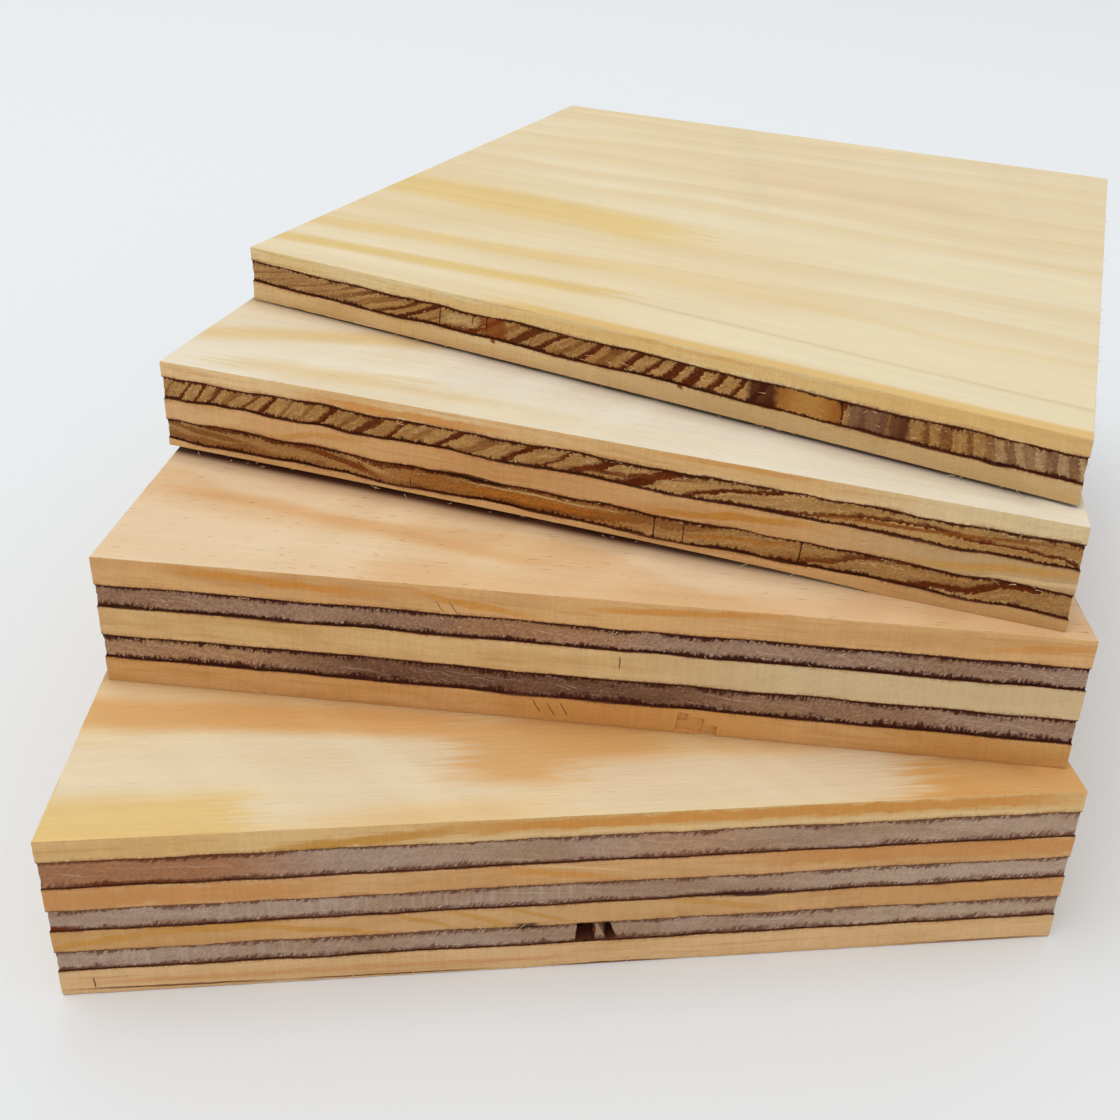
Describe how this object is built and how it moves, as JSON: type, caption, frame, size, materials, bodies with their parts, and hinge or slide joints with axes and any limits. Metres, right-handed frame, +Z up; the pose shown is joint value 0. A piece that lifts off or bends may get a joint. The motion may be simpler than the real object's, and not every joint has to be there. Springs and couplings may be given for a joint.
{
  "type": "stack of plywood sheets",
  "caption": "Loose fanned stack of small square plywood sheets, thickest at the bottom, with every veneer showing in their sawn edges.",
  "frame": {"origin": "centre of the bottom sheet's underside", "axes": "+Z up through the stack, +X along the bottom sheet's front edge and its face grain, +Y from its front edge to its back edge"},
  "size_m": [0.1463, 0.1407, 0.0558],
  "materials": {
    "face_honey": "bare rotary-cut pine veneer, satin",
    "face_cream": "bare rotary-cut pine veneer, satin",
    "long_grain": "sawn edge along the grain, matte",
    "crossband_taupe": "sawn end grain, matte",
    "crossband_umber": "sawn end grain, matte"
  },
  "bodies": {
    "root": {"bottom_face": "face_honey", "bottom_crossband_1": "crossband_taupe", "bottom_inner_1": "long_grain", "bottom_crossband_2": "crossband_taupe", "bottom_inner_2": "long_grain", "bottom_crossband_3": "crossband_taupe", "bottom_back": "long_grain", "second_face": "face_honey", "second_crossband_1": "crossband_taupe", "second_inner": "long_grain", "second_crossband_2": "crossband_taupe", "second_back": "long_grain", "third_face": "face_cream", "third_crossband_1": "crossband_umber", "third_inner": "long_grain", "third_crossband_2": "crossband_umber", "third_back": "long_grain", "top_face": "face_cream", "top_crossband": "crossband_umber", "top_back": "long_grain"}
  },
  "joints": []
}
